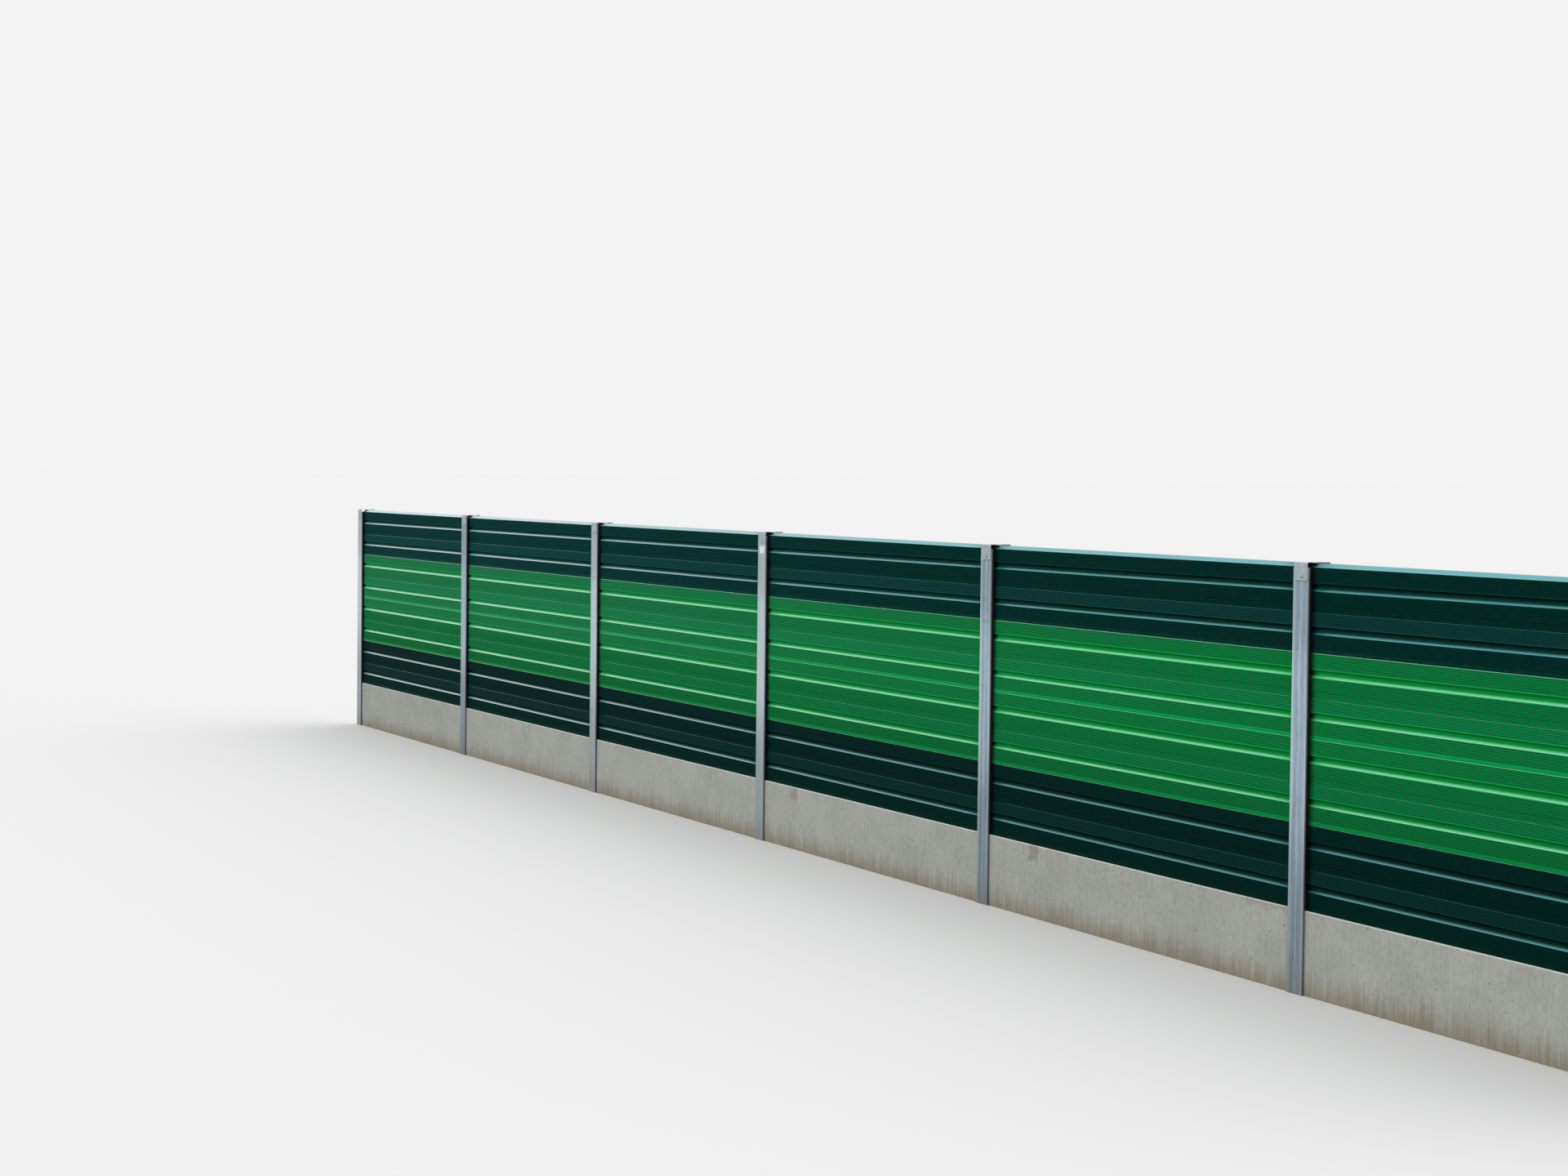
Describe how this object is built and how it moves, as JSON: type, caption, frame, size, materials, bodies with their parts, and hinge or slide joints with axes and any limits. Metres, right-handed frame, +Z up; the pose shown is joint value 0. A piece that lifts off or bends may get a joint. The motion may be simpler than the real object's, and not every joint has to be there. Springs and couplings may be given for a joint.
{
  "type": "highway noise barrier",
  "caption": "Roadside noise wall of galvanised H-posts with caps, stacked green grooved metal cassettes and a concrete plinth in each bay.",
  "frame": {"origin": "middle of the foot face of the middle post, post_4, at ground level", "axes": "+X along the wall, to the right as seen from the road; -Y towards the road; +Z up"},
  "size_m": [24.16, 0.168, 2.526],
  "materials": {
    "zinc_post": "hot-dip galvanised, weathered, with upright streaks",
    "zinc_cap": "galvanised sheet, dull",
    "concrete": "precast concrete with small pits and a stained foot",
    "dark_green": "dark blue-green paint on perforated grooved sheet",
    "bright_green": "bright green paint on perforated grooved sheet",
    "rubber": "black rubber"
  },
  "bodies": {
    "root": {"post_1": "zinc_post", "post_2": "zinc_post", "post_3": "zinc_post", "post_4": "zinc_post", "post_5": "zinc_post", "post_6": "zinc_post", "post_7": "zinc_post", "post_cap_1": "zinc_cap", "post_cap_2": "zinc_cap", "post_cap_3": "zinc_cap", "post_cap_4": "zinc_cap", "post_cap_5": "zinc_cap", "post_cap_6": "zinc_cap", "post_cap_7": "zinc_cap", "plinth_1": "concrete", "plinth_2": "concrete", "plinth_3": "concrete", "plinth_4": "concrete", "plinth_5": "concrete", "plinth_6": "concrete", "cassette_1_bottom": "dark_green", "cassette_1_lower": "bright_green", "cassette_1_upper": "bright_green", "cassette_1_top": "dark_green", "cassette_2_bottom": "dark_green", "cassette_2_lower": "bright_green", "cassette_2_upper": "bright_green", "cassette_2_top": "dark_green", "cassette_3_bottom": "dark_green", "cassette_3_lower": "bright_green", "cassette_3_upper": "bright_green", "cassette_3_top": "dark_green", "cassette_4_bottom": "dark_green", "cassette_4_lower": "bright_green", "cassette_4_upper": "bright_green", "cassette_4_top": "dark_green", "cassette_5_bottom": "dark_green", "cassette_5_lower": "bright_green", "cassette_5_upper": "bright_green", "cassette_5_top": "dark_green", "cassette_6_bottom": "dark_green", "cassette_6_lower": "bright_green", "cassette_6_upper": "bright_green", "cassette_6_top": "dark_green", "seals": "rubber"}
  },
  "joints": []
}
